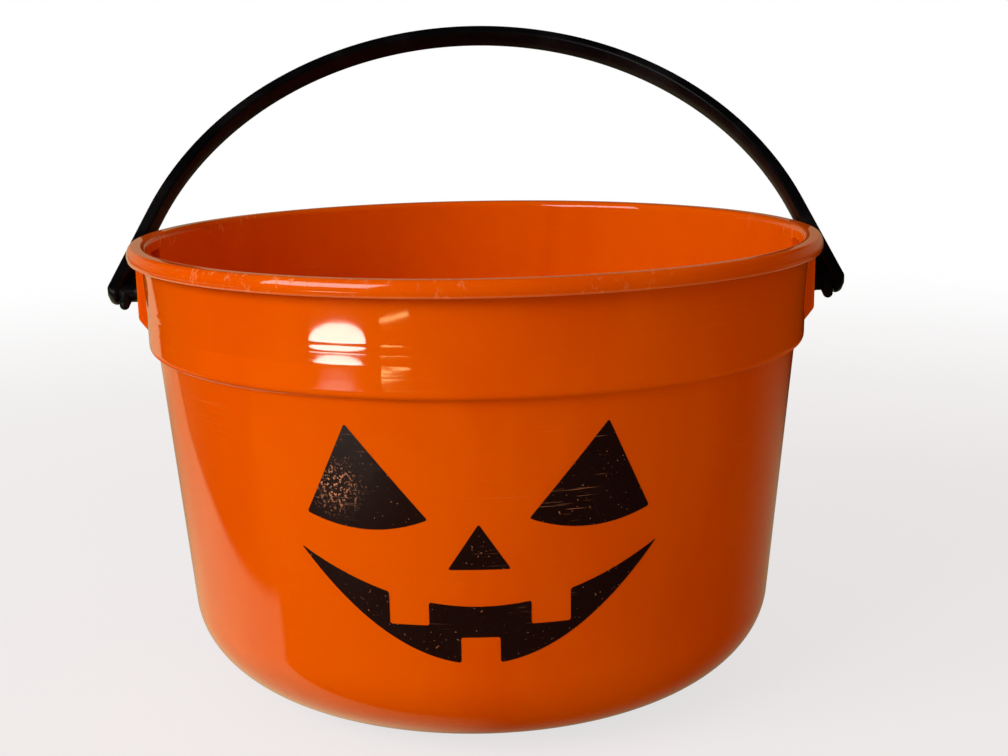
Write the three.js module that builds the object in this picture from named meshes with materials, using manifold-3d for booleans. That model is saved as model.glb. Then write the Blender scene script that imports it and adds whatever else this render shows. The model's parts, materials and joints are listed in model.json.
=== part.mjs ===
// A small moulded trick-or-treat bucket with a swinging bail, in millimetres.
// +Z is up, +X is to the right as seen from the printed front, and the front faces -Y.
// The origin is on the resting plane, on the bucket's axis.
import * as THREE from 'three';
import { mergeVertices } from 'three/addons/utils/BufferGeometryUtils.js';
import Module from 'manifold-3d';

const wasm = await Module();
wasm.setup();

// Bucket: heights are measured up from the table, unless the name says otherwise
const rimRadius = 95.5;
const rimHeight = 125;
const rimBulgeDrop = 2.7;
const rimShoulder = 1.5;
const mouthRounding = 2.2;
const skirtHeight = 4.2;
const skirtThickness = 2;
const skirtTuck = 0.4;
const flangeThickness = 1.7;
const flangeOverhang = 3.6;
const collarHeight = 27.6;
const collarFlare = 0.9;
const stepDepth = 2.5;
const stepDrop = 2.9;
const stepEdge = 0.65;
const stepCrease = 0.6;
const bodyTaper = 6.6;
const cornerHeight = 25;
const cornerReach = 36.9;
const footRingWidth = 4;
const floorRecess = 1.5;
const floorThickness = 2;
const gateMarkRadius = 1.6;
const gateMarkHeight = 0.6;
const wall = 1.8;
const roundSteps = 72;
const sectionSteps = 7;

// Pivot pads under the rim, hollow from inside, one on each side
const padHalfWidth = 8;
const padProjection = 2.4;
const padBelowPin = 6.3;
const padTaper = 3.3;
const pocketRoofDrop = 2;

// Pins of the bail, the snap head inside each pocket and the round nub beside each foot
const pinDrop = 15.6;
const pinRadius = 2.5;
const pinHoleClearance = 0.3;
const pinEndPlay = 0.3;
const shoulderRadius = 3.3;
const shoulderLength = 1.4;
const headRadius = 3.6;
const headThickness = 1.5;
const headLeadIn = 0.8;
const nubRadius = 1.4;
const nubRootRadius = 2.2;
const nubInset = 1.15;
const nubDrop = 5.9;

// Bail: a drafted strap that runs up two splayed legs and over an elliptical arc
const strapThickness = 4.2;
const strapWidth = 6.2;
const strapCrown = 0.3;
const strapCorner = 0.9;
const bailReach = 113.7;
const legSplay = THREE.MathUtils.degToRad(13.2);
const bailRimGap = 0.45;
const arcTuck = 1.4;
const bailRestTilt = THREE.MathUtils.degToRad(52);
const footEndSlope = 1.6;
const footEndAngle = THREE.MathUtils.degToRad(78);
const footSteps = 5;
const legSteps = 3;
const arcSteps = 24;

// Printed face: sizes across the front and heights above the table
const filmGap = 0.3;
const filmThickness = 0.3;
const eyeInner = 12;
const eyeOuter = 41;
const eyeBottomHeight = 67;
const eyeHeight = 23;
const eyePeak = 31;
const eyeSag = 3;
const noseHalfWidth = 7.5;
const noseBottomHeight = 54.5;
const noseHeight = 11.5;
const mouthHalfWidth = 43;
const mouthCornerHeight = 58;
const upperLipDrop = 13;
const lowerLipDrop = 28;
const toothWidth = 9.5;
const toothLength = 7;
const upperToothPlace = 17;

// Sizes worked out from the ones above
const collarTopRadius = rimRadius - flangeOverhang;
const collarBottomRadius = collarTopRadius - collarFlare;
const stepTopHeight = rimHeight - collarHeight;
const stepBottomHeight = stepTopHeight - stepDrop;
const stepBottomRadius = collarBottomRadius - stepDepth;
const cornerTopRadius = stepBottomRadius - bodyTaper;
const footRadius = cornerTopRadius - cornerReach;
const footRingRadius = footRadius - footRingWidth;
const floorHeight = floorRecess + floorThickness;
const skirtBottomHeight = rimHeight - skirtHeight;
const bulgeHeight = rimHeight - rimBulgeDrop;
const flangeUnderside = rimHeight - flangeThickness;
const mouthRadius = collarTopRadius - wall;
const bodySlope = bodyTaper / (stepBottomHeight - cornerHeight);
const collarSlope = collarFlare / collarHeight;
const pinHeight = rimHeight - pinDrop;
const collarRadiusAtPin = collarBottomRadius + collarSlope * (pinHeight - stepTopHeight);
const padFace = collarRadiusAtPin + padProjection;
const rimReach = Math.hypot(rimRadius, bulgeHeight - pinHeight);
const legDistance = rimReach + bailRimGap + strapThickness / 2;
const legFoot = legDistance / Math.cos(legSplay);
const arcHalfWidth = legDistance - arcTuck;
const footInner = legFoot - strapThickness / 2;

// The pull on a Bezier curve's middle points that makes it run like a quarter of an ellipse
const ellipsePull = 4 / 3 * (Math.SQRT2 - 1);

const orangePlastic = new THREE.MeshStandardMaterial({ color: 0xee5a00, roughness: 0.28, metalness: 0 });
const blackPlastic = new THREE.MeshStandardMaterial({ color: 0x101011, roughness: 0.35, metalness: 0 });
const printInk = new THREE.MeshStandardMaterial({ color: 0x1c0f0a, roughness: 0.45, metalness: 0 });

// Join and cut: a closed geometry becomes a solid, and a solid becomes a geometry again
function solid(geometry) {
  const bare = geometry.index ? geometry.toNonIndexed() : geometry.clone();
  bare.deleteAttribute('normal');
  bare.deleteAttribute('uv');
  const merged = mergeVertices(bare, 1e-4);
  const vertProperties = Float32Array.from(merged.attributes.position.array);
  const triVerts = Uint32Array.from(merged.index.array);
  return new wasm.Manifold(new wasm.Mesh({ numProp: 3, vertProperties, triVerts }));
}

function geometryOf(manifold) {
  const mesh = manifold.getMesh();
  const geometry = new THREE.BufferGeometry();
  geometry.setAttribute('position', new THREE.BufferAttribute(Float32Array.from(mesh.vertProperties), 3));
  geometry.setIndex(new THREE.BufferAttribute(Uint32Array.from(mesh.triVerts), 1));
  geometry.computeVertexNormals();
  return geometry;
}

function named(name, geometry, material) {
  const mesh = new THREE.Mesh(geometry, material);
  mesh.name = name;
  return mesh;
}

// A profile of radius and height turned round the Z axis
function turned(points) {
  return new THREE.LatheGeometry(points, roundSteps).rotateX(Math.PI / 2);
}

// An outline of X and Z extruded along Y, centred on the plane Y = 0
function slab(shape, width, curveSteps) {
  const geometry = new THREE.ExtrudeGeometry(shape, { depth: width, bevelEnabled: false, curveSegments: curveSteps });
  return geometry.rotateX(Math.PI / 2).translate(0, width / 2, 0);
}

// A round bar along X between two distances from the axis, with a radius at each end
function bar(from, to, fromRadius, toRadius) {
  const geometry = new THREE.CylinderGeometry(toRadius, fromRadius, to - from, 24);
  return geometry.rotateZ(-Math.PI / 2).translate((from + to) / 2, 0, 0);
}

// Points of the step from the body up to the collar, set in from the outside by a distance:
// its two corners, and where the rounding of each corner begins and ends
function stepPoints(inset) {
  const lower = new THREE.Vector2(stepBottomRadius - inset, stepBottomHeight);
  const upper = new THREE.Vector2(collarBottomRadius - inset, stepTopHeight);
  const slope = upper.clone().sub(lower).normalize();
  const creaseStart = new THREE.Vector2(lower.x - bodySlope * stepCrease, lower.y - stepCrease);
  const creaseEnd = lower.clone().addScaledVector(slope, stepCrease);
  const edgeStart = upper.clone().addScaledVector(slope, -stepEdge);
  const edgeEnd = new THREE.Vector2(upper.x + collarSlope * stepEdge, upper.y + stepEdge);
  return [creaseStart, lower, creaseEnd, edgeStart, upper, edgeEnd];
}

// Two straight lines and a rounded corner after each, through the six points of a step
function drawStep(path, points) {
  for (const [start, corner, end] of [points.slice(0, 3), points.slice(3)]) {
    path.lineTo(start.x, start.y);
    path.quadraticCurveTo(corner.x, corner.y, end.x, end.y);
  }
}

// The bucket's section, from the axis under the floor, up the outside, over the rim and down the inside
function bucketProfile() {
  const path = new THREE.Path();
  path.moveTo(0, floorRecess - gateMarkHeight);
  path.lineTo(gateMarkRadius, floorRecess - gateMarkHeight);
  path.lineTo(gateMarkRadius, floorRecess);
  path.lineTo(footRingRadius - floorRecess, floorRecess);
  path.lineTo(footRingRadius, 0);
  path.lineTo(footRadius, 0);
  const cornerPull = ellipsePull * cornerHeight;
  path.bezierCurveTo(footRadius + ellipsePull * cornerReach, 0,
    cornerTopRadius - bodySlope * cornerPull, cornerHeight - cornerPull,
    cornerTopRadius, cornerHeight);
  drawStep(path, stepPoints(0));
  path.lineTo(collarTopRadius, flangeUnderside);
  path.lineTo(rimRadius - skirtThickness, flangeUnderside);
  path.lineTo(rimRadius - skirtThickness, skirtBottomHeight);
  path.lineTo(rimRadius - skirtTuck, skirtBottomHeight);
  path.lineTo(rimRadius, bulgeHeight);
  path.bezierCurveTo(rimRadius, bulgeHeight + ellipsePull * rimBulgeDrop,
    rimRadius - rimShoulder + ellipsePull * rimShoulder, rimHeight,
    rimRadius - rimShoulder, rimHeight);
  path.lineTo(mouthRadius + mouthRounding, rimHeight);
  path.quadraticCurveTo(mouthRadius, rimHeight, mouthRadius, rimHeight - mouthRounding);
  drawStep(path, stepPoints(wall).reverse());
  path.lineTo(cornerTopRadius - wall, cornerHeight);
  const innerPull = ellipsePull * (cornerHeight - floorHeight);
  path.bezierCurveTo(cornerTopRadius - wall - bodySlope * innerPull, cornerHeight - innerPull,
    footRadius + ellipsePull * cornerReach, floorHeight,
    footRadius, floorHeight);
  path.lineTo(0, floorHeight);
  return path.getPoints(sectionSteps);
}

// Side outline of the pad: flush under the skirt, and sloping back into the collar at its lower end
function padShape() {
  const rootRadius = collarRadiusAtPin - wall / 2;
  const faceBottom = pinHeight - padBelowPin;
  const rootBottom = faceBottom - padTaper * (padFace - rootRadius) / padProjection;
  const skirtMiddle = rimRadius - skirtThickness / 2;
  const top = rimHeight - flangeThickness / 2;
  const shape = new THREE.Shape();
  shape.moveTo(rootRadius, rootBottom);
  shape.lineTo(padFace, faceBottom);
  shape.lineTo(padFace, skirtBottomHeight);
  shape.lineTo(skirtMiddle, skirtBottomHeight);
  shape.lineTo(skirtMiddle, top);
  shape.lineTo(rootRadius, top);
  shape.closePath();
  return shape;
}

// The pocket leaves one wall behind the pad's face and slope, and opens to the bucket's inside
function pocketShape() {
  const face = padFace - wall;
  const open = collarRadiusAtPin - 3 * wall;
  const mouthBottom = pinHeight - padBelowPin;
  const roof = flangeUnderside - pocketRoofDrop;
  const shape = new THREE.Shape();
  shape.moveTo(open, mouthBottom);
  shape.lineTo(collarRadiusAtPin - wall, mouthBottom);
  shape.lineTo(face, mouthBottom + wall);
  shape.lineTo(face, roof);
  shape.lineTo(open, roof);
  shape.closePath();
  return shape;
}

function onBothSides(build) {
  const right = build();
  return right.add(right.mirror([1, 0, 0]));
}

function makeBucket() {
  const shell = solid(turned(bucketProfile()));
  const pads = onBothSides(() => solid(slab(padShape(), 2 * padHalfWidth, 1)));
  const pockets = onBothSides(() => solid(slab(pocketShape(), 2 * (padHalfWidth - wall), 1)));
  const holeRadius = pinRadius + pinHoleClearance;
  const holes = onBothSides(() => {
    const hole = bar(padFace - 2 * wall, padFace + wall, holeRadius, holeRadius);
    return solid(hole.translate(0, 0, pinHeight));
  });
  return geometryOf(shell.add(pads).subtract(pockets).subtract(holes));
}

// Half of one side of the strap's section, from its crowned middle to the end of its round corner
function flatSide(reach, half, corner) {
  const side = reach - strapCrown;
  const points = [[reach, 0]];
  for (const degrees of [0, 45, 90]) {
    const angle = THREE.MathUtils.degToRad(degrees);
    points.push([side - corner * (1 - Math.cos(angle)), half - corner * (1 - Math.sin(angle))]);
  }
  return points;
}

// One section of the bail: out is measured away from the inside of the arc, across is along the strap's width
function bailSection(outer, half) {
  const corner = Math.min(strapCorner, half / 2);
  const inner = flatSide(strapThickness / 2, half, corner).map(([out, across]) => [-out, across]);
  const upper = [...flatSide(outer, half, corner), ...inner.reverse()];
  const lower = upper.slice(1, -1).reverse().map(([out, across]) => [out, -across]);
  return [...upper, ...lower];
}

// Stations of the right foot, which ends in a half round about the pin and slopes back on its outer side
function footStations(leg, tangent) {
  const radius = strapWidth / 2;
  const stations = [];
  for (let i = footSteps; i >= 0; i -= 1) {
    const turn = footEndAngle * i / footSteps;
    const outer = strapThickness / 2 - footEndSlope * (1 - Math.cos(turn));
    const point = leg.clone().addScaledVector(tangent, -radius * Math.sin(turn));
    stations.push({ point, tangent, section: bailSection(outer, radius * Math.cos(turn)) });
  }
  return stations;
}

// The right half of the bail's middle line in its own plane: X across and Y up from the pins
function rightHalfStations() {
  const lean = Math.tan(legSplay);
  const centre = (legFoot ** 2 - arcHalfWidth ** 2 - (bailReach * lean) ** 2)
    / (2 * lean * (legFoot - bailReach * lean));
  const rise = bailReach - centre;
  const start = Math.atan(lean * rise / arcHalfWidth);
  const arc = new THREE.EllipseCurve(0, centre, arcHalfWidth, rise, start, Math.PI / 2, false, 0);
  const foot = new THREE.Vector2(legFoot, 0);
  const leg = new THREE.LineCurve(foot, arc.getPoint(0));
  const tangent = leg.getTangent(0);
  const plain = bailSection(strapThickness / 2, strapWidth / 2);
  const stations = footStations(foot, tangent);
  for (let i = 1; i < legSteps; i += 1) {
    stations.push({ point: leg.getPoint(i / legSteps), tangent, section: plain });
  }
  for (let i = 0; i <= arcSteps / 2; i += 1) {
    const along = 2 * i / arcSteps;
    stations.push({ point: arc.getPoint(along), tangent: arc.getTangent(along), section: plain });
  }
  return stations;
}

// The left half repeats the right one in reverse, mirrored
function bailStations() {
  const right = rightHalfStations();
  const left = right.slice(0, -1).reverse().map(({ point, tangent, section }) => ({
    point: new THREE.Vector2(-point.x, point.y),
    tangent: new THREE.Vector2(tangent.x, -tangent.y),
    section,
  }));
  return [...right, ...left];
}

// A closed body lofted through the section at each station
function loft(stations) {
  const positions = [];
  const count = stations[0].section.length;
  for (const { point, tangent, section } of stations) {
    for (const [out, across] of section) {
      positions.push(point.x + tangent.y * out, across, point.y - tangent.x * out);
    }
  }
  const index = [];
  for (let s = 0; s < stations.length - 1; s += 1) {
    for (let k = 0; k < count; k += 1) {
      const a = s * count + k;
      const b = s * count + (k + 1) % count;
      index.push(a, b, a + count, b, b + count, a + count);
    }
  }
  const last = (stations.length - 1) * count;
  for (let k = 1; k < count - 1; k += 1) {
    index.push(0, k + 1, k, last, last + k, last + k + 1);
  }
  const geometry = new THREE.BufferGeometry();
  geometry.setAttribute('position', new THREE.Float32BufferAttribute(positions, 3));
  geometry.setIndex(index);
  return geometry;
}

// The right pin: a shoulder outside the pad's face, a shank through its hole and a snap head in its pocket
function makePin() {
  const shoulderFace = padFace + pinEndPlay;
  const headFace = padFace - wall - pinEndPlay;
  const tip = headFace - headThickness;
  const profile = [
    new THREE.Vector2(0, tip),
    new THREE.Vector2(headRadius - headLeadIn, tip),
    new THREE.Vector2(headRadius, tip + headLeadIn),
    new THREE.Vector2(headRadius, headFace),
    new THREE.Vector2(pinRadius, headFace),
    new THREE.Vector2(pinRadius, shoulderFace),
    new THREE.Vector2(shoulderRadius, shoulderFace),
    new THREE.Vector2(pinRadius, shoulderFace + shoulderLength),
    new THREE.Vector2(pinRadius, footInner + strapThickness / 2),
    new THREE.Vector2(0, footInner + strapThickness / 2),
  ];
  return solid(new THREE.LatheGeometry(profile, 24).rotateZ(-Math.PI / 2));
}

// The round nub beside the foot, a short cone with a ball end that points away from the arc
function makeNub() {
  const place = footInner - nubInset;
  const length = nubDrop - nubRadius;
  const cone = new THREE.CylinderGeometry(nubRootRadius, nubRadius, length, 16);
  cone.rotateX(Math.PI / 2).translate(place, 0, -length / 2);
  const ball = new THREE.SphereGeometry(nubRadius, 16, 8).rotateX(Math.PI / 2).translate(place, 0, -length);
  return solid(cone).add(solid(ball));
}

function makeBail() {
  const pinsAndNubs = onBothSides(() => makePin().add(makeNub()));
  return geometryOf(solid(loft(bailStations())).add(pinsAndNubs));
}

// A thin conical skin just off the body wall, from which the prints are cut
function filmSkin() {
  const low = cornerHeight;
  const high = stepBottomHeight;
  const inside = filmGap;
  const outside = filmGap + filmThickness;
  const points = [
    new THREE.Vector2(cornerTopRadius + inside, low),
    new THREE.Vector2(cornerTopRadius + outside, low),
    new THREE.Vector2(stepBottomRadius + outside, high),
    new THREE.Vector2(stepBottomRadius + inside, high),
    new THREE.Vector2(cornerTopRadius + inside, low),
  ];
  return solid(turned(points));
}

function makePrint(shape) {
  const cutter = slab(shape, rimRadius, 12).translate(0, -rimRadius / 2 - wall, 0);
  return geometryOf(filmSkin().intersect(solid(cutter)));
}

// A leaning three-cornered eye with a sagging lower edge; side is 1 for right and -1 for left
function eyeShape(side) {
  const shape = new THREE.Shape();
  shape.moveTo(side * eyeInner, eyeBottomHeight);
  shape.quadraticCurveTo(side * (eyeInner + eyeOuter) / 2, eyeBottomHeight - 2 * eyeSag, side * eyeOuter, eyeBottomHeight);
  shape.lineTo(side * eyePeak, eyeBottomHeight + eyeHeight);
  shape.closePath();
  return shape;
}

function noseShape() {
  const shape = new THREE.Shape();
  shape.moveTo(-noseHalfWidth, noseBottomHeight);
  shape.lineTo(noseHalfWidth, noseBottomHeight);
  shape.lineTo(0, noseBottomHeight + noseHeight);
  shape.closePath();
  return shape;
}

// A lip is a parabola that ends in the mouth's corners and hangs below them by its drop in the middle
function lip(drop) {
  const bend = drop / mouthHalfWidth ** 2;
  const heightAt = (x) => mouthCornerHeight - drop + bend * x * x;
  const drawTo = (shape, from, to) => {
    const control = heightAt(from) + bend * from * (to - from);
    shape.quadraticCurveTo((from + to) / 2, control, to, heightAt(to));
  };
  return { heightAt, drawTo };
}

// A grin with two square teeth above and one below, drawn round its outline
function mouthShape() {
  const upper = lip(upperLipDrop);
  const lower = lip(lowerLipDrop);
  const half = toothWidth / 2;
  const shape = new THREE.Shape();
  const toothTo = (edge, from, to, way) => {
    const end = edge.heightAt((from + to) / 2) + way * toothLength;
    shape.lineTo(from, end);
    shape.lineTo(to, end);
    shape.lineTo(to, edge.heightAt(to));
  };
  shape.moveTo(-mouthHalfWidth, mouthCornerHeight);
  lower.drawTo(shape, -mouthHalfWidth, -half);
  toothTo(lower, -half, half, 1);
  lower.drawTo(shape, half, mouthHalfWidth);
  upper.drawTo(shape, mouthHalfWidth, upperToothPlace + half);
  toothTo(upper, upperToothPlace + half, upperToothPlace - half, -1);
  upper.drawTo(shape, upperToothPlace - half, half - upperToothPlace);
  toothTo(upper, half - upperToothPlace, -half - upperToothPlace, -1);
  upper.drawTo(shape, -half - upperToothPlace, -mouthHalfWidth);
  return shape;
}

const bucketAssembly = new THREE.Group();
bucketAssembly.add(named('bucket', makeBucket(), orangePlastic));
bucketAssembly.add(named('left_eye_print', makePrint(eyeShape(-1)), printInk));
bucketAssembly.add(named('right_eye_print', makePrint(eyeShape(1)), printInk));
bucketAssembly.add(named('nose_print', makePrint(noseShape()), printInk));
bucketAssembly.add(named('mouth_print', makePrint(mouthShape()), printInk));

const bailSwing = new THREE.Group();
bailSwing.position.z = pinHeight;
bailSwing.rotation.x = -bailRestTilt;
bailSwing.add(named('bail_handle', makeBail(), blackPlastic));
bucketAssembly.add(bailSwing);

export default bucketAssembly;
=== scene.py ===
"""A small moulded trick-or-treat bucket, dressed for close views.

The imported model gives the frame: every piece is built in metres where that model says it goes.
"""

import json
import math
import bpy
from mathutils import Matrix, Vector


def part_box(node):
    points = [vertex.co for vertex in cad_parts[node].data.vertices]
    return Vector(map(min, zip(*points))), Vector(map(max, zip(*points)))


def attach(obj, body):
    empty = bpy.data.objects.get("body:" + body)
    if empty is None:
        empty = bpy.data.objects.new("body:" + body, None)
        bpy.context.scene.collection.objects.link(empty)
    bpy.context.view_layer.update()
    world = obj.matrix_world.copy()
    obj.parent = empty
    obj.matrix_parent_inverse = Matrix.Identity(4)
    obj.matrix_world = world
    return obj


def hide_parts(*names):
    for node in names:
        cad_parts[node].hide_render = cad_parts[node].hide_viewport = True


bl_info = {
    "name": "Treat Bucket",
    "version": (1, 0, 0),
    "blender": (4, 5, 0),
    "location": "View3D > Sidebar > Treat Bucket",
    "description": "Builds a moulded bucket with a printed jack-o'-lantern face and a swinging bail",
    "category": "Add Mesh",
}

import bmesh
import bpy
from mathutils import Matrix, Vector

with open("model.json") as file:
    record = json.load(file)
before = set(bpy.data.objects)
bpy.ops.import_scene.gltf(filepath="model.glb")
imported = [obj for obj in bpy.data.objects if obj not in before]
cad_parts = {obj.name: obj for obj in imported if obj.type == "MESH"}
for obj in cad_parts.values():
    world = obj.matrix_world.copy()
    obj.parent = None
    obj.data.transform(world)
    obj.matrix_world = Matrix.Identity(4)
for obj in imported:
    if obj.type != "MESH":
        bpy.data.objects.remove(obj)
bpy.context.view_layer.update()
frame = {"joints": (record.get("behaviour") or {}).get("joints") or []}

MM = 0.001
FULL_TURN = 2 * math.pi
RIM_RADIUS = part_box("bucket")[1].x
RIM_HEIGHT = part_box("bucket")[1].z
PIN_HEIGHT = frame["joints"][0]["pos_m"][2]
ELLIPSE_PULL = 4 / 3 * (math.sqrt(2) - 1)
WELD = 0.002 * MM


# Sizes and colours that a user would change


def prop(kind, **settings):
    """A short way to state properties of one kind, each with its name, description and default"""
    return lambda name, description, default: kind(
        name=name, description=description, default=default, **settings
    )


metres = prop(bpy.props.FloatProperty, subtype="DISTANCE", unit="LENGTH", precision=5)
angle = prop(bpy.props.FloatProperty, subtype="ANGLE", unit="ROTATION")
share = prop(bpy.props.FloatProperty, min=0.0, max=1.0, subtype="FACTOR")
count = prop(bpy.props.IntProperty, min=1)
colour = prop(bpy.props.FloatVectorProperty, size=3, min=0.0, max=1.0, subtype="COLOR")
power = prop(bpy.props.FloatProperty, min=0.0, unit="POWER")
level = prop(bpy.props.FloatProperty, min=0.0)
number = prop(bpy.props.FloatProperty)


def length(name, description, default):
    """A length whose default is given in millimetres"""
    return metres(name, description, default * MM)


class BucketSizes(bpy.types.PropertyGroup):
    """Sizes of the moulded shell"""

    rim_radius: metres("Rim radius", "Outer radius of the rim", RIM_RADIUS)
    rim_height: metres("Height", "Height of the rim above the table", RIM_HEIGHT)
    bulge_drop: length("Bulge drop", "From the rim's top down to its widest place", 2.7)
    shoulder: length("Rim shoulder", "How far the rim's outer edge is rounded over", 1.5)
    mouth_rounding: length("Mouth rounding", "Rounding of the rim's inner edge", 2.2)
    skirt_height: length("Skirt height", "How far the rim's skirt hangs down", 4.2)
    skirt_thickness: length("Skirt thickness", "Thickness of the rim's skirt", 2)
    skirt_tuck: length("Skirt tuck", "How far the skirt draws in again at its lower edge", 0.28)
    skirt_edge: length("Skirt edge", "Rounding of the skirt's lower edges", 0.55)
    flange: length("Flange thickness", "Thickness of the rim's flat top", 1.7)
    overhang: length("Overhang", "How far the rim stands out from the collar", 3.6)
    collar_height: length("Collar height", "From the rim's top to the collar's lower edge", 28.25)
    collar_flare: length("Collar flare", "How much the collar widens towards the rim", 1.15)
    step_depth: length("Step depth", "How far the body steps in below the collar", 2.32)
    step_drop: length("Step drop", "Height of the step below the collar", 0.3)
    step_edge: length("Step edge", "Rounding of the collar's lower edge", 1.45)
    step_crease: length("Step crease", "Rounding of the crease where the step meets the body", 0.8)
    body_taper: length("Body taper", "How much the straight wall narrows towards its foot", 6.53)
    corner_height: length("Corner height", "Height where the round bottom corner begins", 25)
    corner_reach: length("Corner reach", "How far the round bottom corner runs in", 36.9)
    foot_ring: length("Foot ring", "Width of the flat ring that touches the table", 4)
    floor_recess: length("Floor recess", "How far the middle of the base is raised", 1.5)
    floor_thickness: length("Floor thickness", "Thickness of the base", 2)
    gate_radius: length("Gate radius", "Radius of the moulding gate's mark under the base", 1.6)
    gate_height: length("Gate height", "Height of the moulding gate's mark", 0.6)
    wall: length("Wall", "Thickness of the side wall", 1.8)
    pad_half: length("Pad half width", "Half the width of a pivot pad", 8)
    pad_out: length("Pad projection", "How far a pivot pad stands out from the collar", 2.55)
    pad_below: length("Pad below pin", "From the pin down to the lower edge of the pad's face", 6.3)
    pad_taper: length("Pad taper", "Height over which the pad slopes back into the collar", 3.3)
    pad_edge: length("Pad edge", "Rounding of the pad's edges", 0.7)
    pocket_roof: length("Pocket roof", "From the flange down to the roof of the pad's pocket", 2)
    hole_radius: length("Hole radius", "Radius of the pin hole", 2.8)
    turn_steps: count("Turn steps", "Faces round the bucket", 288)
    curve_steps: count("Curve steps", "Faces along each curve of the section", 14)


# Tilt of the collar's faint moulding rings, as (millimetres below the rim's top, radians)
RINGS = (
    (15.00, 0), (15.19, 0.0003), (15.38, 0.0171), (15.70, 0.0190), (16.03, 0.0185), (16.20, 0.0031),
    (17.20, -0.0081), (17.39, -0.018), (17.72, -0.018), (17.88, 0.0306), (18.14, 0.0228), (20.34, 0.0232),
    (20.53, 0.0349), (21.18, 0.0366), (21.47, 0.0319), (21.75, 0.0367), (22.26, 0.0341), (22.54, 0.0388),
    (23.15, 0.0366), (23.43, 0.0413), (23.99, 0.0401), (26.52, 0.0459),
)
RING_STEP = 0.16  # millimetres between two points of the ringed line
INNER_STEP_RISE = 0.85  # how far the step's inside lies above its outside, as a share of the wall


class BailSizes(bpy.types.PropertyGroup):
    """Sizes of the swinging bail"""

    tilt: angle("Rest tilt", "How far the bail leans back from upright", math.radians(52))
    splay: angle("Leg splay", "How far each leg leans in towards the arc", math.radians(13.2))
    reach: length("Reach", "From the pins to the middle of the strap at the top of the arc", 113.68)
    rim_gap: length("Rim gap", "Clearance between the strap and the rim as it swings over", 0.44)
    tuck: length("Arc tuck", "How much narrower the arc is than the legs' lines", 1.4)
    thickness: length("Thickness", "Strap size measured towards the middle of the arc", 4.2)
    width: length("Width", "Strap size measured across the arc's plane", 6.2)
    crown: length("Crown", "Height of the parting ridge above the strap's edges", 0.3)
    corner: length("Corner", "Rounding of the strap's edges", 0.9)
    end_slope: length("End slope", "How far the foot's outer side slopes back at its end", 3.0)
    pin_radius: length("Pin radius", "Radius of the pivot pin", 2.5)
    end_play: length("End play", "Gap between the pin's shoulder and the pad", 0.3)
    shoulder_radius: length("Shoulder radius", "Radius of the pin where it meets the pad", 3.3)
    shoulder_length: length("Shoulder length", "Length over which the shoulder narrows", 1.4)
    head_radius: length("Head radius", "Radius of the snap head", 3.6)
    head_thickness: length("Head thickness", "Thickness of the snap head", 1.5)
    head_lead: length("Head lead-in", "Size of the snap head's sloped edge", 0.8)
    web_reach: length("Web reach", "How far the corner web runs along the pin", 5)
    web_height: length("Web height", "How far the corner web runs up the strap", 9.4)
    web_thickness: length("Web thickness", "Thickness of the corner web", 1.6)
    nub_radius: length("Nub radius", "Radius of the nub's ball end", 1.4)
    nub_root: length("Nub root radius", "Radius of the nub at its root", 2.2)
    nub_inset: length("Nub inset", "From the foot's inner side in to the nub's axis", 1.15)
    nub_drop: length("Nub drop", "How far the nub reaches past the pin", 5.9)
    strap_steps: count("Strap steps", "Divisions along the strap", 200)


class FaceSizes(bpy.types.PropertyGroup):
    """Sizes of the printed jack-o'-lantern face"""

    ink_gap: length("Ink gap", "Distance of the ink's back from the wall", 0.03)
    ink_thickness: length("Ink thickness", "Thickness of the printed ink", 0.06)
    corner: length("Corner", "Rounding of the print's corners", 0.6)
    eye_inner: length("Eye inner", "From the middle to an eye's inner corner", 12)
    eye_outer: length("Eye outer", "From the middle to an eye's outer corner", 41)
    eye_bottom: length("Eye bottom", "Height of an eye's lower corners", 67)
    eye_top: length("Eye top", "Height of an eye's upper corner", 90)
    eye_peak: length("Eye peak", "From the middle to an eye's upper corner", 31)
    eye_sag: length("Eye sag", "How far an eye's lower edge sags", 3)
    nose_half: length("Nose half width", "Half the width of the nose", 7.5)
    nose_bottom: length("Nose bottom", "Height of the nose's lower edge", 54.5)
    nose_top: length("Nose top", "Height of the nose's tip", 66)
    mouth_half: length("Mouth half width", "Half the width of the mouth", 43)
    mouth_corner: length("Mouth corner", "Height of the mouth's corners", 58)
    upper_lip: length("Upper lip", "Height of the middle of the mouth's upper edge", 45)
    lower_lip: length("Lower lip", "Height of the middle of the mouth's lower edge", 30)
    tooth_width: length("Tooth width", "Width of a tooth", 9.5)
    tooth_length: length("Tooth length", "Length of a tooth", 7)
    tooth_place: length("Tooth place", "From the middle to the middle of an upper tooth", 17)


class Finishes(bpy.types.PropertyGroup):
    """Colours and gloss of the finishes"""

    orange: colour("Orange", "Colour of the moulded shell", (0.87, 0.121, 0.0))
    deep_orange: colour("Deep orange", "Colour of the shell's darker flow marks", (0.81, 0.1, 0.0))
    # Scuffed plastic; the same pale colour also makes the painted highlight along the skirt's lower edge
    scuff_and_sheen: colour("Scuff", "Colour of scuffed plastic", (0.90, 0.36, 0.14))
    ink: colour("Ink", "Colour of the printed face", (0.014, 0.0035, 0.002))
    black: colour("Black", "Colour of the bail", (0.0022, 0.0022, 0.0026))
    # Rubbed bail; the same grey is also a painted reflection on the bail's feet
    worn_and_sheen_black: colour("Worn black", "Colour of the bail where it is rubbed", (0.016, 0.0155, 0.0155))
    shell_roughness: share("Shell roughness", "Roughness of the clean shell", 0.038)
    ink_roughness: share("Ink roughness", "Roughness of the clean ink", 0.2)
    bail_roughness: share("Bail roughness", "Roughness of the clean bail", 0.27)


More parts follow.
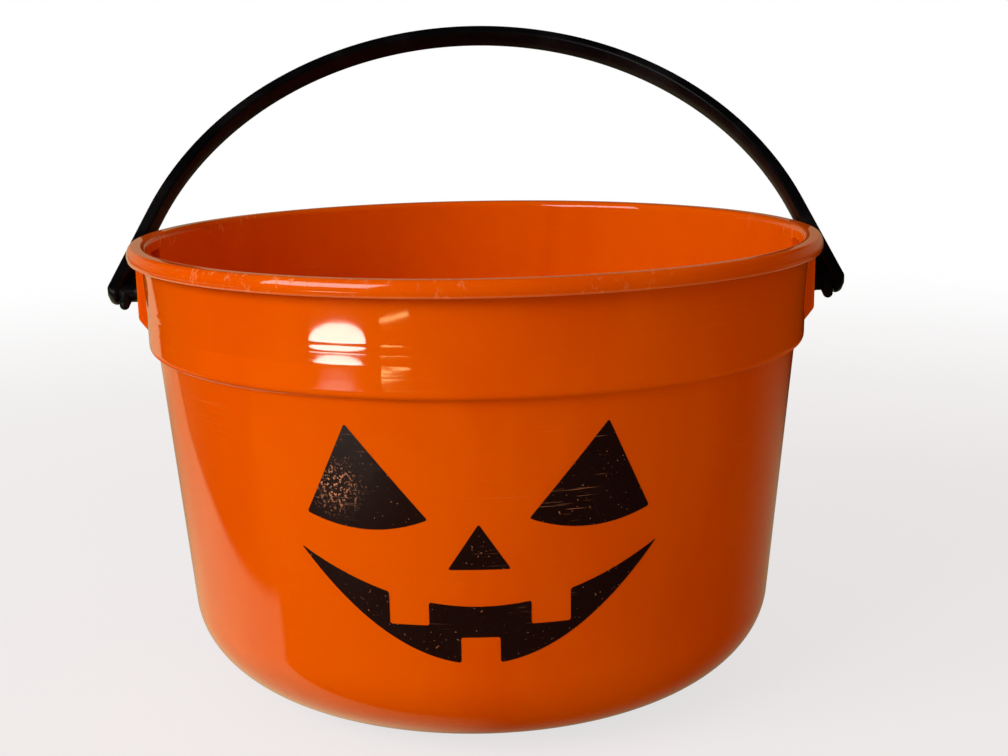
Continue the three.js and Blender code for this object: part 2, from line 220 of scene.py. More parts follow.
class StageSizes(bpy.types.PropertyGroup):
    """Camera, floor and lights"""

    lens: number("Lens", "Focal length in millimetres", 56.56)
    floor_size: metres("Floor size", "Width of the floor", 6.0)
    floor: colour("Floor colour", "Colour of the floor", (0.7, 0.7, 0.7))
    key_power: power("Key power", "Power of the large soft light", 12.3)
    glint_power: power("Glint power", "Power of the small low light", 0.14)
    bar_power: power("Bar power", "Power of the thin light beside it", 0.0042)
    sky: level("Sky", "Strength of the soft light from all round", 0.41)
    left_sheen: level("Left sheen", "Strength of what the gloss mirrors low down on the left", 0.74)
    right_sheen: level("Right sheen", "Strength of what the gloss mirrors low down behind on the right", 0.3)
    back_sheen: level("Back sheen", "Strength of what the gloss mirrors behind, near the horizon", 0.24)
    sheen_tint: colour("Sheen tint", "Colour of what the gloss mirrors", (1.0, 0.85, 0.5))
    sky_tint: colour("Sky tint", "Colour of the soft light from all round", (1.0, 0.67, 0.59))


# Modelling by hand: small steps that the pieces share


def deselect_all():
    if bpy.context.object and bpy.context.object.mode != "OBJECT":
        bpy.ops.object.mode_set(mode="OBJECT")
    bpy.ops.object.select_all(action="DESELECT")


def only(obj):
    """Make one object the selected and active one"""
    deselect_all()
    obj.select_set(True)
    bpy.context.view_layer.objects.active = obj


def name_new(name):
    obj = bpy.context.object
    obj.name = name
    obj.data.name = name
    return obj


def select_where(obj, kind, test):
    """Select the vertices, edges or faces of the mesh in edit mode that pass a test"""
    bpy.ops.mesh.select_mode(type=kind)
    bpy.ops.mesh.select_all(action="DESELECT")
    mesh = bmesh.from_edit_mesh(obj.data)
    items = {"VERT": mesh.verts, "EDGE": mesh.edges, "FACE": mesh.faces}[kind]
    for item in items:
        if test(item):
            item.select_set(True)
    bmesh.update_edit_mesh(obj.data)


def draw_wire(name, points):
    """A wire drawn through 3-D points by extruding one vertex; the mesh stays in edit mode"""
    deselect_all()
    bpy.ops.mesh.primitive_plane_add(size=MM)
    obj = name_new(name)
    bpy.ops.object.mode_set(mode="EDIT")
    bpy.ops.mesh.select_mode(type="VERT")
    bpy.ops.mesh.select_all(action="SELECT")
    bpy.ops.mesh.merge(type="CENTER")
    bpy.ops.transform.translate(value=points[0])
    for start, end in zip(points, points[1:]):
        bpy.ops.mesh.extrude_vertices_move(TRANSFORM_OT_translate={"value": Vector(end) - Vector(start)})
    return obj


def close_and_face_out():
    bpy.ops.mesh.select_all(action="SELECT")
    bpy.ops.mesh.remove_doubles(threshold=WELD)
    bpy.ops.mesh.normals_make_consistent(inside=False)
    bpy.ops.object.mode_set(mode="OBJECT")


def turned(name, points, steps, centre=(0, 0, 0), axis=(0, 0, 1)):
    """A closed solid of revolution from a wire of 3-D points that starts and ends on the axis"""
    obj = draw_wire(name, points)
    bpy.ops.mesh.select_all(action="SELECT")
    bpy.ops.mesh.spin(steps=steps, angle=FULL_TURN, center=centre, axis=axis)
    close_and_face_out()
    return obj


def prism(name, outline, near, far):
    """An outline of (x, z) points, filled and extruded along Y from near to far"""
    obj = draw_wire(name, [(x, near, z) for x, z in outline])
    bpy.ops.mesh.select_all(action="SELECT")
    bpy.ops.mesh.edge_face_add()
    bpy.ops.mesh.extrude_region_move(TRANSFORM_OT_translate={"value": (0, far - near, 0)})
    close_and_face_out()
    return obj


def combine(obj, other, operation):
    """Join, cut or intersect with another solid, and remove that solid"""
    only(obj)
    step = obj.modifiers.new("combine", "BOOLEAN")
    step.operation = operation
    step.object = other
    step.solver = "EXACT"
    bpy.ops.object.modifier_apply(modifier=step.name)
    bpy.data.objects.remove(other)


def bake_place(obj):
    """Put the object's place and turn into its mesh"""
    only(obj)
    bpy.ops.object.transform_apply(location=True, rotation=True, scale=True)


def mirrored(obj, name):
    """A copy on the other side of the plane X = 0, with its faces turned out again"""
    only(obj)
    bpy.ops.object.duplicate()
    copy = name_new(name)
    copy.scale.x = -1
    bake_place(copy)
    bpy.ops.object.mode_set(mode="EDIT")
    bpy.ops.mesh.select_all(action="SELECT")
    bpy.ops.mesh.normals_make_consistent(inside=False)
    bpy.ops.object.mode_set(mode="OBJECT")
    return copy


def smooth(obj, degrees):
    """Smooth shading up to an angle, with large faces kept flat beside their rounded edges"""
    only(obj)
    bpy.ops.object.shade_smooth_by_angle(angle=math.radians(degrees))
    step = obj.modifiers.new("weights", "WEIGHTED_NORMAL")
    step.keep_sharp = True
    bpy.ops.object.modifier_apply(modifier=step.name)


def finish_piece(obj, node, body, material):
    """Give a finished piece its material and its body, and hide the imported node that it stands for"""
    obj.data.materials.clear()
    obj.data.materials.append(material)
    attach(obj, body)
    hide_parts(node)


# Curves and outlines


def curve(a, b, c, d, steps):
    """Points along a cubic curve, without its first point"""
    points = []
    for i in range(1, steps + 1):
        t = i / steps
        u = 1 - t
        points.append(tuple(
            u ** 3 * p + 3 * u * u * t * q + 3 * u * t * t * r + t ** 3 * s for p, q, r, s in zip(a, b, c, d)
        ))
    return points


def bow(a, control, b, steps):
    """Points along a quadratic curve, without its first point"""
    points = []
    for i in range(1, steps + 1):
        t = i / steps
        u = 1 - t
        points.append(tuple(u * u * p + 2 * u * t * q + t * t * r for p, q, r in zip(a, control, b)))
    return points


def rounded(points, radius, steps=5, closed=True):
    """An outline whose sharp corners are cut back by a small curve"""
    result = []
    total = len(points)
    for i, corner in enumerate(points):
        here = Vector(corner)
        before = Vector(points[i - 1]) - here
        after = Vector(points[(i + 1) % total]) - here
        ends = not closed and i in (0, total - 1)
        if ends or before.angle(-after) < math.radians(20):
            result.append(tuple(here))
            continue
        back = min(radius, before.length * 0.45, after.length * 0.45)
        start = here + before.normalized() * back
        end = here + after.normalized() * back
        result.append(tuple(start))
        result += curve(start, start.lerp(here, ELLIPSE_PULL), end.lerp(here, ELLIPSE_PULL), end, steps)
    return result


# Finishes: shader maths written as expressions


class Value:
    """A shader value that ordinary arithmetic works on"""

    def __init__(self, nodes, socket):
        self.nodes = nodes
        self.socket = socket

    def __add__(self, other):
        return self.nodes.maths("ADD", self, other)

    __radd__ = __add__

    def __sub__(self, other):
        return self.nodes.maths("SUBTRACT", self, other)

    def __rsub__(self, other):
        return self.nodes.maths("SUBTRACT", other, self)

    def __mul__(self, other):
        return self.nodes.maths("MULTIPLY", self, other)

    __rmul__ = __mul__


class Nodes:
    """One node tree and the ways to add to it"""

    def __init__(self, tree):
        self.tree = tree
        tree.nodes.clear()

    def node(self, kind, settings=None, inputs=None):
        """Add any node: its settings first, then the values or links of its sockets"""
        made = self.tree.nodes.new(kind)
        for name, value in (settings or {}).items():
            setattr(made, name, value)
        for name, value in (inputs or {}).items():
            if isinstance(value, Value):
                self.tree.links.new(value.socket, made.inputs[name])
            elif isinstance(value, bpy.types.NodeSocket):
                self.tree.links.new(value, made.inputs[name])
            else:
                made.inputs[name].default_value = value
        return made

    def value(self, node, output=0):
        return Value(self, node.outputs[output])

    def maths(self, operation, *inputs):
        return self.value(self.node("ShaderNodeMath", {"operation": operation}, dict(enumerate(inputs))))

    def ramp(self, value, low, high):
        """0 up to low, 1 from high, and smooth between"""
        inputs = {0: value, 1: low, 2: high, 3: 0.0, 4: 1.0}
        return self.value(self.node("ShaderNodeMapRange", {"interpolation_type": "SMOOTHSTEP"}, inputs))

    def past(self, value, places):
        """0 at the first of two places in millimetres, and 1 at the second"""
        return self.ramp(value, places[0] * MM, places[1] * MM)

    def band(self, value, places):
        """0, 1, 1 and 0 at four places in millimetres"""
        return self.past(value, places[:2]) * self.past(value, places[:1:-1])

    def mix(self, mask, first, second):
        """Colour that goes from first to second as the mask goes from 0 to 1"""
        inputs = {0: mask}
        for name, paint in ((6, first), (7, second)):
            inputs[name] = paint if isinstance(paint, bpy.types.NodeSocket) else (*paint, 1.0)
        return self.node("ShaderNodeMix", {"data_type": "RGBA"}, inputs).outputs[2]

    def place(self):
        return self.node("ShaderNodeTexCoord").outputs["Object"]

    def scaled(self, place, scale, turn=(0, 0, 0)):
        inputs = {"Vector": place, "Scale": scale, "Rotation": turn}
        return self.node("ShaderNodeMapping", None, inputs).outputs[0]

    def noise(self, place, scale, detail=2.0, rough=0.5, bend=0.0):
        inputs = {"Vector": place, "Scale": scale, "Detail": detail, "Roughness": rough, "Distortion": bend}
        return self.value(self.node("ShaderNodeTexNoise", None, inputs))

    def axes(self, place):
        node = self.node("ShaderNodeSeparateXYZ", None, {0: place})
        return [self.value(node, i) for i in range(3)]

    def spot(self, place, centre, radius):
        """1 at a point and 0 from a radius away"""
        offset = self.node("ShaderNodeVectorMath", {"operation": "DISTANCE"}, {0: place, 1: centre})
        return self.ramp(self.value(offset, "Value"), radius, 0.0)

    def bump(self, height):
        """A normal from a height in metres"""
        inputs = {"Height": height, "Distance": 1.0, "Strength": 1.0}
        return self.node("ShaderNodeBump", None, inputs).outputs[0]


def new_finish(name):
    material = bpy.data.materials.new(name)
    material.use_nodes = True
    return material, Nodes(material.node_tree)


def plastic(nodes, inputs):
    """The plastic surface and the material's output"""
    surface = nodes.node("ShaderNodeBsdfPrincipled", None, inputs)
    nodes.node("ShaderNodeOutputMaterial", None, {"Surface": surface.outputs[0]})


def scratches(nodes, place, turn, along, across, rarity):
    """Thin scratches along one direction: 1 on a scratch"""
    stretched = nodes.scaled(place, (along, along, across), turn)
    lines = nodes.noise(stretched, 1.0, 2.0, 0.6)
    patches = nodes.noise(place, 38.0, 2.0)
    return nodes.ramp(lines, rarity, rarity + 0.05) * nodes.ramp(patches, 0.5, 0.66)


# Where the shell's finish changes, in millimetres: first where a mask is 0, then where it is 1
RIM_FROM = (-4.4, -3.6)  # height from the rim's top
# Where the painted highlight along the skirt's lower edge lies
SKIRT_SHEEN_BELOW = (121.6, 121)
SKIRT_SHEEN_OUTSIDE = (94.2, 94.8)
PADS_BELOW = (120.7, 120.3)
PADS_OUTSIDE = (92.1, 92.5)
# Bands are 0, 1, 1 and 0 at these places
STEP_BAND = (96.5, 96.7, 97.5, 98.3)
LOW_COLLAR_BAND = (96.9, 97.6, 104, 104.6)
LOW_COLLAR_WIDTH = (-72, -62, -24, -21)


def orange_plastic():
    """Glossy moulded plastic with soft flow marks, fine scratches, scuffs on the rim and a painted highlight along
    the skirt's lower edge
    """
    look = bpy.context.scene.treat_finishes
    material, nodes = new_finish("orange_plastic")
    place = nodes.place()
    x, y, height = nodes.axes(place)
    flow = nodes.noise(nodes.scaled(place, (1, 1, 0.45)), 24.0, 3.0, 0.55, 0.6)
    level = scratches(nodes, place, (0, 0, 0), 26.0, 2600.0, 0.66)
    slanted = scratches(nodes, place, (0.5, 0.7, 0.2), 30.0, 2300.0, 0.69)
    marks = nodes.maths("MAXIMUM", level, slanted)
    round_out = nodes.maths("POWER", x * x + y * y, 0.5)
    rim = nodes.ramp(height, *(RIM_HEIGHT + place * MM for place in RIM_FROM))
    nicks = nodes.ramp(nodes.noise(nodes.scaled(place, (1, 1, 0.4)), 520.0, 3.0, 0.7), 0.56, 0.66)
    rubbed = nodes.ramp(nodes.noise(place, 30.0, 2.0), 0.52, 0.62)
    handled = nodes.spot(place, (-44 * MM, -83 * MM, 122 * MM), 40 * MM)
    scuffs = rim * nicks * nodes.maths("MAXIMUM", rubbed * 0.7, handled)
    # Painted highlight: a thin pale line along the skirt's lower edge stands in for the floor light that it
    # reflects
    skirt_edge = nodes.past(height, SKIRT_SHEEN_BELOW) * nodes.past(round_out, SKIRT_SHEEN_OUTSIDE)
    paint = nodes.mix(nodes.ramp(flow, 0.35, 0.68), look.orange, look.deep_orange)
    # Scuffs and scratches paint paler plastic; the skirt's edge takes the same colour as a painted highlight
    paint = nodes.mix(scuffs * 0.5 + marks * 0.12 + skirt_edge * 0.3, paint, look.scuff_and_sheen)
    grain = nodes.noise(place, 900.0, 2.0) * (0.0008 * MM)
    relief = grain - marks * (0.004 * MM) - scuffs * (0.02 * MM)
    step = nodes.band(height, STEP_BAND)
    low_collar = nodes.band(height, LOW_COLLAR_BAND) * nodes.band(x, LOW_COLLAR_WIDTH)
    pads = nodes.past(round_out, PADS_OUTSIDE) * nodes.past(height, PADS_BELOW)
    gloss = (1 - step * 0.93) * (1 - low_collar * 0.88) * (1 - scuffs * 0.8) * (1 - marks * 0.4) * (1 - pads * 0.5)
    plastic(nodes, {
        "Base Color": paint,
        "Roughness": 0.45,
        "Normal": nodes.bump(relief),
        "Coat Weight": gloss,
        "Coat IOR": 1.49,
        "Coat Roughness": look.shell_roughness,
        "Specular IOR Level": 0.0,
        "Subsurface Weight": 0.18,
        "Subsurface Radius": (1.0, 0.25, 0.05),
        "Subsurface Scale": 0.004,
    })
    return material


def print_ink():
    """Brown-black screen print with pinholes, fine scratches and one rubbed patch"""
    look = bpy.context.scene.treat_finishes
    material, nodes = new_finish("print_ink")
    place = nodes.place()
    pinholes = nodes.ramp(nodes.noise(place, 1500.0, 2.0, 0.6), 0.70, 0.74)
    fine = scratches(nodes, place, (0.3, 1.1, 0.1), 60.0, 2500.0, 0.66)
    rubbed = nodes.spot(place, (-34 * MM, -80 * MM, 74 * MM), 9 * MM)
    speckle = nodes.ramp(nodes.noise(place, 1300.0, 3.0, 0.75), 0.56, 0.60)
    bare = nodes.maths("MAXIMUM", nodes.maths("MAXIMUM", pinholes * 0.6, fine * 0.35), speckle * rubbed * 0.85)
    cloud = nodes.noise(place, 90.0, 2.0)
    paint = nodes.mix(cloud * 0.5, look.ink, (0.022, 0.006, 0.003))
    paint = nodes.mix(bare, paint, look.scuff_and_sheen)
    relief = nodes.noise(place, 1100.0, 2.0) * (0.002 * MM) - bare * (0.02 * MM)
    plastic(nodes, {
        "Base Color": paint,
        "Roughness": look.ink_roughness + cloud * 0.12 + bare * 0.2,
        "Normal": nodes.bump(relief),
        "IOR": 1.47,
    })
    return material


def black_plastic():
    """Black moulded plastic, rubbed grey where it is handled; the grey at its feet is partly rubbed wear and
    partly a painted reflection of the floor on their rounded undersides
    """
    look = bpy.context.scene.treat_finishes
    material, nodes = new_finish("black_plastic")
    place = nodes.place()
    cloud = nodes.noise(place, 60.0, 3.0, 0.6)
    fine = scratches(nodes, place, (0.2, 0.9, 0.4), 40.0, 2400.0, 0.64)
    specks = nodes.ramp(nodes.noise(place, 1400.0, 2.0, 0.7), 0.66, 0.72)
    # Painted reflection and wear: the feet and nubs are painted greyer, partly for the floor light that their
    # rounded undersides reflect
    foot = nodes.ramp(nodes.axes(place)[2], 112 * MM, 104 * MM)
    worn_and_sheen = nodes.ramp(cloud, 0.45, 0.75) * 0.35 + fine * 0.5 + specks * (0.12 + foot * 0.6) + foot * 0.35
    relief = nodes.noise(place, 700.0, 2.0) * (0.003 * MM) - fine * (0.01 * MM) + specks * foot * (0.03 * MM)
    plastic(nodes, {
        "Base Color": nodes.mix(worn_and_sheen, look.black, look.worn_and_sheen_black),
        "Roughness": look.bail_roughness + cloud * 0.08 + worn_and_sheen * 0.25,
        "Normal": nodes.bump(relief),
        "IOR": 1.49,
        "Specular IOR Level": 0.1,
    })
    return material


# The moulded shell


def round_corner(start, corner, end, steps):
    """A straight run up to a corner and the small curve round it"""
    return [start] + bow(start, corner, end, steps)


def step_points(s, inset):
    """The step from the body up to the collar: the start, corner and end of each of its two rounded corners"""
    collar_bottom = s.rim_radius - s.overhang - s.collar_flare - inset
    step_top = s.rim_height - s.collar_height + inset * INNER_STEP_RISE
    lower = Vector((collar_bottom - s.step_depth, step_top - s.step_drop))
    upper = Vector((collar_bottom, step_top))
    slope = (upper - lower).normalized()
    body_slope = Vector((s.body_taper / (lower.y - s.corner_height), 1))
    collar_slope = Vector((s.collar_flare / s.collar_height, 1))
    crease = (lower - body_slope * s.step_crease, lower, lower + slope * s.step_crease)
    edge = (upper - slope * s.step_edge, upper, upper + collar_slope * s.step_edge)
    return [tuple(map(tuple, crease)), tuple(map(tuple, edge))]


def ringed_collar(s, start, end):
    """The collar's outer line from its lower end up to the rim, with the faint rings left by the mould"""
    count_up = int((RINGS[-1][0] - RINGS[0][0]) / RING_STEP)
    points = []
    offset = 0.0
    for i in range(count_up + 1):
        drop = RINGS[0][0] + RING_STEP * i
        for (above, tilt_above), (below, tilt_below) in zip(RINGS, RINGS[1:]):
            if above <= drop <= below:
                tilt = tilt_above + (tilt_below - tilt_above) * (drop - above) / (below - above)
        offset += tilt * RING_STEP * MM
        points.append((offset, s.rim_height - drop * MM))
    slope = (end[0] - start[0] + offset) / (end[1] - start[1])
    return [(end[0] - slope * (end[1] - height) + out, height) for out, height in points[::-1]]


def bottom_corner(s, foot, corner_top, low, up):
    """The round bottom corner between the base and the wall, drawn upwards or downwards"""
    slope = s.body_taper / (s.rim_height - s.collar_height - s.step_drop - s.corner_height)
    pull = ELLIPSE_PULL * (s.corner_height - low)
    controls = [
        (foot, low),
        (foot + ELLIPSE_PULL * s.corner_reach, low),
        (corner_top - slope * pull, s.corner_height - pull),
        (corner_top, s.corner_height),
    ]
    return curve(*(controls if up else controls[::-1]), 3 * s.curve_steps)


def shell_section(s):
    """The shell's section as (radius, height), from the axis under the base to the axis above it"""
    steps = s.curve_steps
    collar_top = s.rim_radius - s.overhang
    corner_top = collar_top - s.collar_flare - s.step_depth - s.body_taper
    foot = corner_top - s.corner_reach
    ring = foot - s.foot_ring
    floor = s.floor_recess + s.floor_thickness
    underside = s.rim_height - s.flange
    skirt_bottom = s.rim_height - s.skirt_height
    bulge = s.rim_height - s.bulge_drop
    mouth = collar_top - s.wall
    base = rounded([
        (0, s.floor_recess - s.gate_height),
        (s.gate_radius, s.floor_recess - s.gate_height),
        (s.gate_radius, s.floor_recess),
        (ring - s.floor_recess, s.floor_recess),
        (ring, 0),
        (foot, 0),
    ], 0.3 * MM, 3, closed=False)
    outer_corner = bottom_corner(s, foot, corner_top, 0, up=True)
    step_out = []
    for corner in step_points(s, 0):
        step_out += round_corner(*corner, steps // 2)
    step_out += ringed_collar(s, step_out[-1], (collar_top, underside))
    skirt = rounded([
        (collar_top, underside),
        (s.rim_radius - s.skirt_thickness, underside),
        (s.rim_radius - s.skirt_thickness, skirt_bottom),
        (s.rim_radius - s.skirt_tuck, skirt_bottom),
        (s.rim_radius - 0.3 * s.skirt_tuck, bulge - 0.3 * (bulge - skirt_bottom)),
    ], s.skirt_edge, 4, closed=False)
    side = bow(skirt[-1], (s.rim_radius, bulge - 0.1 * s.bulge_drop), (s.rim_radius, bulge), steps // 2)
    shoulder = (s.rim_radius - s.shoulder, s.rim_height)
    side += curve(
        side[-1],
        (s.rim_radius, bulge + ELLIPSE_PULL * s.bulge_drop),
        (shoulder[0] + ELLIPSE_PULL * s.shoulder, s.rim_height),
        shoulder,
        steps,
    )
    lip = round_corner(
        (mouth + s.mouth_rounding, s.rim_height),
        (mouth, s.rim_height),
        (mouth, s.rim_height - s.mouth_rounding),
        steps,
    )
    step_in = []
    for corner in step_points(s, s.wall)[::-1]:
        step_in += round_corner(*corner[::-1], steps // 2)
    inner_top = (corner_top - s.wall, s.corner_height)
    inner_corner = [inner_top] + bottom_corner(s, foot, inner_top[0], floor, up=False)
    return base + outer_corner + step_out + skirt + side + lip + step_in + inner_corner + [(0, floor)]


def pin_walls(s):
    """How far out the collar and the pad's face are at the height of the pins"""
    share_up = (PIN_HEIGHT - s.rim_height + s.collar_height) / s.collar_height
    collar = s.rim_radius - s.overhang - s.collar_flare * (1 - share_up)
    return collar, collar + s.pad_out


def pad_block(s, face, collar):
    """A pivot pad: a slab that slopes back into the collar, with its outer edges rounded"""
    root = collar - s.wall / 2
    face_bottom = PIN_HEIGHT - s.pad_below
    skirt_bottom = s.rim_height - s.skirt_height
    inside_skirt = skirt_bottom + s.skirt_height / 3
    skirt_middle = s.rim_radius - s.skirt_thickness / 2
    top = s.rim_height - s.flange / 2
    outline = [
        (root, face_bottom - s.pad_taper * (face - root) / s.pad_out),
        (face, face_bottom),
        (face, inside_skirt),
        (skirt_middle, inside_skirt),
        (skirt_middle, top),
        (root, top),
    ]
    obj = prism("pad", outline, -s.pad_half, s.pad_half)
    only(obj)
    bpy.ops.object.mode_set(mode="EDIT")
    outside = root + s.wall / 2

    def outer_edge(edge):
        middle = (edge.verts[0].co + edge.verts[1].co) / 2
        return middle.x > outside and middle.z < skirt_bottom - WELD

    select_where(obj, "EDGE", outer_edge)
    bpy.ops.mesh.bevel(offset=s.pad_edge, segments=4, affect="EDGES")
    close_and_face_out()
    return obj


def pad_pocket(s, face, collar):
    """The hollow behind a pad, open to the bucket's inside"""
    opening = collar - 3 * s.wall
    low = PIN_HEIGHT - s.pad_below
    roof = s.rim_height - s.flange - s.pocket_roof
    outline = [
        (opening, low),
        (collar - s.wall, low),
        (face - s.wall, low + s.wall),
        (face - s.wall, roof),
        (opening, roof),
    ]
    half = s.pad_half - s.wall
    return prism("pocket", outline, -half, half)


def pin_hole(s, face):
    """A round bar that cuts the pin's hole through a pad"""
    start = face - 2 * s.wall
    end = face + s.wall
    points = [(start, 0, PIN_HEIGHT), (start, 0, PIN_HEIGHT + s.hole_radius)]
    points += [(end, 0, PIN_HEIGHT + s.hole_radius), (end, 0, PIN_HEIGHT)]
    return turned("hole", points, 48, (0, 0, PIN_HEIGHT), (1, 0, 0))


class TREAT_OT_shell(bpy.types.Operator):
    """Turn the bucket's shell and join its two hollow pivot pads"""

    bl_idname = "treat.shell"
    bl_label = "Moulded Shell"

    def execute(self, context):
        s = context.scene.treat_bucket
        section = shell_section(s)
        shell = turned("bucket_shell", [(r, 0, z) for r, z in section], s.turn_steps)
        collar, face = pin_walls(s)
        pads = pad_block(s, face, collar)
        cutters = pad_pocket(s, face, collar)
        combine(cutters, pin_hole(s, face), "UNION")
        for both in (pads, cutters):
            combine(both, mirrored(both, "left_side"), "UNION")
        combine(shell, pads, "UNION")
        combine(shell, cutters, "DIFFERENCE")
        smooth(shell, 32)
        finish_piece(shell, "bucket", "pail", orange_plastic())
        return {"FINISHED"}


# The swinging bail


def flat_side(reach, half, corner, crown, steps=4):
    """Half of one side of the strap's section, from its crowned middle to the end of its round corner"""
    side = reach - crown
    points = [(reach, 0), ((reach + side) / 2, (half - corner) / 2)]
    for i in range(steps + 1):
        turn = math.pi / 2 * i / steps
        points.append((side - corner * (1 - math.cos(turn)), half - corner * (1 - math.sin(turn))))
    return points


def strap_section(s, outer, half):
    """The bail's section as (out, across), measured from the middle of the strap"""
    corner = min(s.corner, half / 2)
    inner = [(-out, across) for out, across in flat_side(s.thickness / 2, half, corner, s.crown)]
    upper = flat_side(outer, half, corner, s.crown) + inner[::-1]
    return upper + [(out, -across) for out, across in upper[-2:0:-1]]


def foot_rings(s):
    """Sections of a foot by distance past the pin: a half round that slopes back on its outer side"""
    radius = s.width / 2
    rings = []
    for degrees in (84, 78, 70, 62, 53, 43, 33, 22, 11, 0):
        turn = math.radians(degrees)
        outer = s.thickness / 2 - s.end_slope * math.sin(turn) ** 2
        rings.append((-radius * math.sin(turn), strap_section(s, outer, radius * math.cos(turn))))
    return rings


def bail_line(s, bucket):
    """Points of the bail's middle line in its own plane, from the right pin over to the left, and its length"""
    rim_reach = math.hypot(bucket.rim_radius, bucket.rim_height - bucket.bulge_drop - PIN_HEIGHT)
    distance = rim_reach + s.rim_gap + s.thickness / 2
    foot = distance / math.cos(s.splay)
    half = distance - s.tuck
    lean = math.tan(s.splay)
    centre = (foot ** 2 - half ** 2 - (s.reach * lean) ** 2) / (2 * lean * (foot - s.reach * lean))
    rise = s.reach - centre
    start = math.atan(lean * rise / half)
    past = s.width
    points = [(foot + past * math.sin(s.splay), -past * math.cos(s.splay)), (foot, 0)]
    arc_start = (half * math.cos(start), centre + rise * math.sin(start))
    for i in range(1, 12):
        points.append(tuple(a + (b - a) * i / 12 for a, b in zip((foot, 0), arc_start)))
    for i in range(361):
        turn = start + (math.pi - 2 * start) * i / 360
        points.append((half * math.cos(turn), centre + rise * math.sin(turn)))
    points += [(-x, y) for x, y in points[12::-1]]
    total = sum(math.dist(a, b) for a, b in zip(points, points[1:]))
    return points, past, total - 2 * past, foot


def straight_strap(s, past, total):
    """The strap before it is bent: its section extruded along X, with a round foot at each end"""
    rings = foot_rings(s)
    plain = strap_section(s, s.thickness / 2, s.width / 2)
    near = [distance for distance, section in rings]
    far = [total - distance for distance in near[::-1]]
    middle = [near[-1] + (far[0] - near[-1]) * i / s.strap_steps for i in range(1, s.strap_steps)]
    places = [past + distance for distance in near + middle + far]
    obj = draw_wire("bail", [(places[0], -out, across) for out, across in plain])
    bpy.ops.mesh.select_all(action="SELECT")
    bpy.ops.mesh.edge_face_add()
    for start, end in zip(places, places[1:]):
        bpy.ops.mesh.extrude_region_move(TRANSFORM_OT_translate={"value": (end - start, 0, 0)})
    mesh = bmesh.from_edit_mesh(obj.data)
    shaped = {}
    for distance, section in rings:
        shaped[round((past + distance) / WELD)] = section
        shaped[round((past + total - distance) / WELD)] = section
    for vertex in mesh.verts:
        ring = min(shaped, key=lambda key: abs(key * WELD - vertex.co.x))
        if abs(ring * WELD - vertex.co.x) > 20 * WELD:
            continue
        spot = min(range(len(plain)), key=lambda i: math.dist(plain[i], (-vertex.co.y, vertex.co.z)))
        out, across = shaped[ring][spot]
        vertex.co.y, vertex.co.z = -out, across
    bmesh.update_edit_mesh(obj.data)
    close_and_face_out()
    return obj


def bend_along(obj, points):
    """Bend a straight piece that lies along X on to a line in the XY plane"""
    line = bpy.data.curves.new("bail_line", "CURVE")
    line.dimensions = "2D"
    spline = line.splines.new("POLY")
    spline.points.add(len(points) - 1)
    for point, (x, y) in zip(spline.points, points):
        point.co = (x, y, 0, 1)
    guide = bpy.data.objects.new("bail_line", line)
    bpy.context.collection.objects.link(guide)
    only(obj)
    step = obj.modifiers.new("bend", "CURVE")
    step.object = guide
    step.deform_axis = "POS_X"
    bpy.ops.object.modifier_apply(modifier=step.name)
    bpy.data.objects.remove(guide)


def pin(s, bucket, foot):
    """The right pin: a shoulder outside the pad, a shank through its hole and a snap head in its pocket"""
    face = pin_walls(bucket)[1]
    shoulder = face + s.end_play
    head = face - bucket.wall - s.end_play
    tip = head - s.head_thickness
    outline = [
        (tip, 0),
        (tip, s.head_radius - s.head_lead),
        (tip + s.head_lead, s.head_radius),
        (head, s.head_radius),
        (head, s.pin_radius),
        (shoulder, s.pin_radius),
        (shoulder, s.shoulder_radius),
        (shoulder + s.shoulder_length, s.pin_radius),
        (foot, s.pin_radius),
        (foot, 0),
    ]
    points = rounded(outline, 0.25 * MM, 3, closed=False)
    return turned("pin", [(x, 0, r) for x, r in points], 48, (0, 0, 0), (1, 0, 0))


def web(s, foot):
    """The thin web that fills the corner between the pin and the strap on the side of the arc"""
    inner = foot - s.thickness / 2
    lean = math.tan(s.splay)
    outline = [
        (inner - s.web_reach, 0),
        (inner + s.thickness / 4, 0),
        (inner + s.thickness / 4 - s.web_height * lean, s.web_height),
        (inner - s.web_height * lean - 0.2 * s.web_reach, s.web_height),
        (inner - s.web_reach, s.web_height * 0.5),
    ]
    return prism("web", rounded(outline, 0.4 * MM, 3), -s.web_thickness / 2, s.web_thickness / 2)


def nub(s, foot):
    """The round nub beside the foot, a short cone with a ball end that points away from the arc"""
    place = foot - s.thickness / 2 - s.nub_inset
    long = s.nub_drop - s.nub_radius
    points = [(place, 0, 0), (place + s.nub_root, 0, 0), (place + s.nub_radius, 0, -long)]
    for i in range(1, 9):
        turn = math.pi / 2 * i / 8
        points.append((place + s.nub_radius * math.cos(turn), 0, -long - s.nub_radius * math.sin(turn)))
    return turned("nub", points, 32, (place, 0, 0), (0, 0, 1))


class TREAT_OT_bail(bpy.types.Operator):
    """Extrude the strap, bend it over the bucket and join its snap pins and nubs"""

    bl_idname = "treat.bail"
    bl_label = "Swinging Bail"

    def execute(self, context):
        s = context.scene.treat_bail
        bucket = context.scene.treat_bucket
        points, past, total, foot = bail_line(s, bucket)
        bail = straight_strap(s, past, total)
        bend_along(bail, points)
        bail.rotation_euler.x = math.radians(90)
        bake_place(bail)
        for part in (pin(s, bucket, foot), web(s, foot), nub(s, foot)):
            combine(bail, mirrored(part, "left_part"), "UNION")
            combine(bail, part, "UNION")
        bail.rotation_euler.x = -s.tilt
        bail.location.z = PIN_HEIGHT
        bake_place(bail)
        smooth(bail, 38)
        finish_piece(bail, "bail_handle", "bail", black_plastic())
        return {"FINISHED"}


# The printed face


